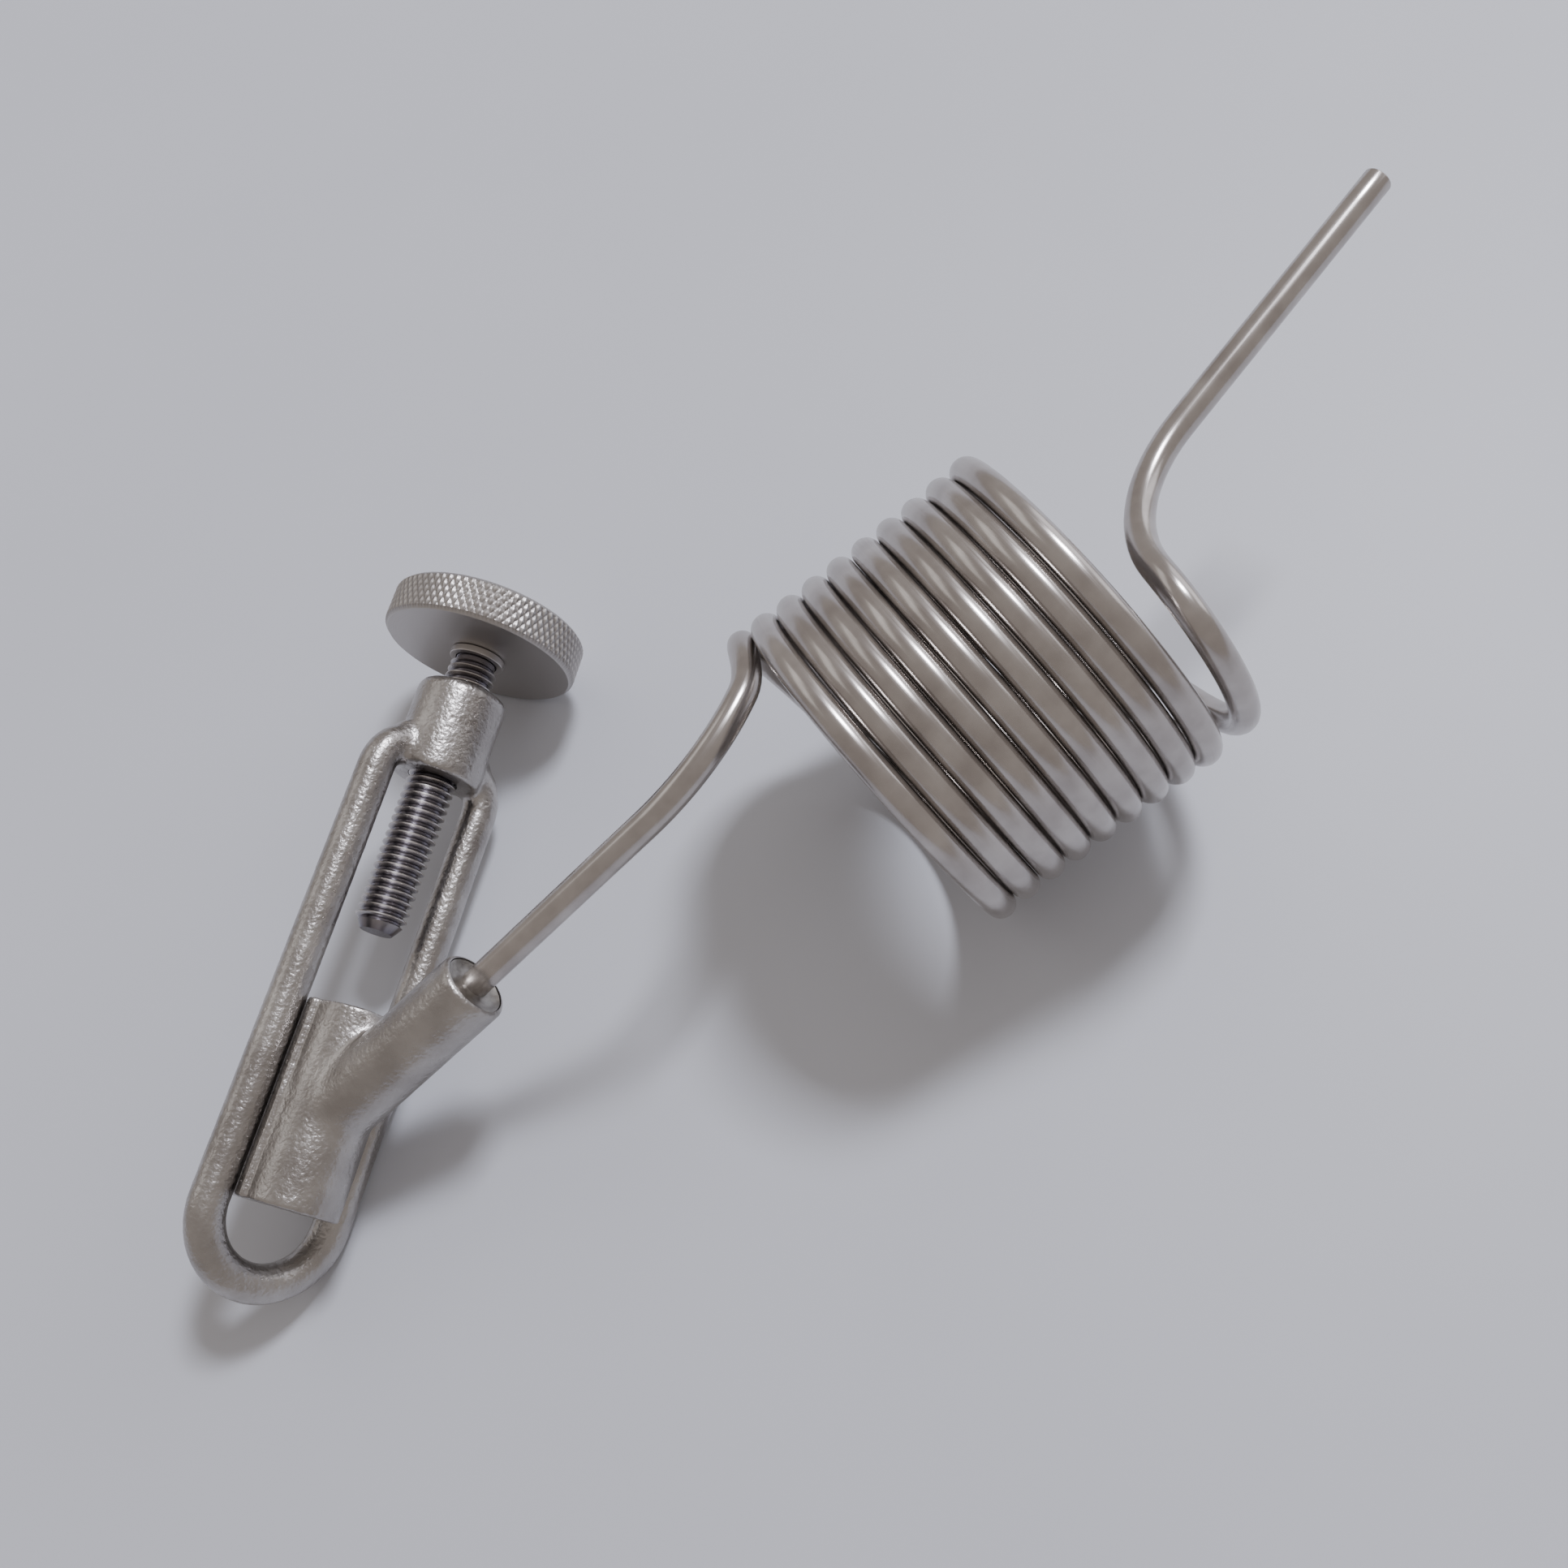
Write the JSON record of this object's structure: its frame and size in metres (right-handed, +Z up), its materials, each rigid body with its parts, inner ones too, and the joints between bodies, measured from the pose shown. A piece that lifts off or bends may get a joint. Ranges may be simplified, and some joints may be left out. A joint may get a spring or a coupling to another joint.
{
  "type": "clamp-on spring arm",
  "caption": "Screw yoke with a sliding angled socket that holds a coiled torsion spring rod ending in a straight free arm.",
  "frame": {"origin": "under the middle of the bounding box, on the surface the object lies on", "axes": "+X along the coil toward the arm's free end, +Z up, object lying on its side"},
  "size_m": [0.1651, 0.078, 0.0466],
  "materials": {
    "cast_steel": "blasted investment casting, fine orange-peel",
    "satin_steel": "machined satin",
    "drawn_wire": "bright drawn wire, soft lengthwise streaks",
    "braze": "dull solidified braze"
  },
  "bodies": {
    "yoke": {"yoke": "cast_steel"},
    "screw_carrier": {"knob_collar": "satin_steel"},
    "screw": {"clamp_stud": "satin_steel", "knurled_knob": "satin_steel"},
    "jaw": {"y_socket": "cast_steel", "socket_braze": "braze", "coil_spring": "drawn_wire"},
    "arm": {"spring_arm": "drawn_wire"}
  },
  "joints": [
    {"name": "screw_travel", "type": "slide", "parent": "yoke", "child": "screw_carrier", "axis": [-0.7193, -0.6926, -0.0541], "range_m": [-0.012, 0.0038]},
    {"name": "screw_turn", "type": "hinge", "parent": "screw_carrier", "child": "screw", "pos_m": [-0.03696, 0.01553, 0.01108], "axis": [-0.7193, -0.6926, -0.0541], "range_deg": [-4320, 1368]},
    {"name": "jaw_slide", "type": "slide", "parent": "yoke", "child": "jaw", "axis": [-0.7193, -0.6926, -0.0541], "range_m": [-0.0054, 0.0025]},
    {"name": "spring_flex", "type": "hinge", "parent": "jaw", "child": "arm", "pos_m": [0.01958, -0.01813, 0.02349], "axis": [0.9592, 0.0902, 0.2681], "range_deg": [-20, 20], "stiffness_Nm_per_rad": 0.865, "deforming": ["coil_spring"]}
  ],
  "couplings": [
    {"joint": "screw_turn", "follows": "screw_travel", "rad_per_m": 6283.2}
  ]
}
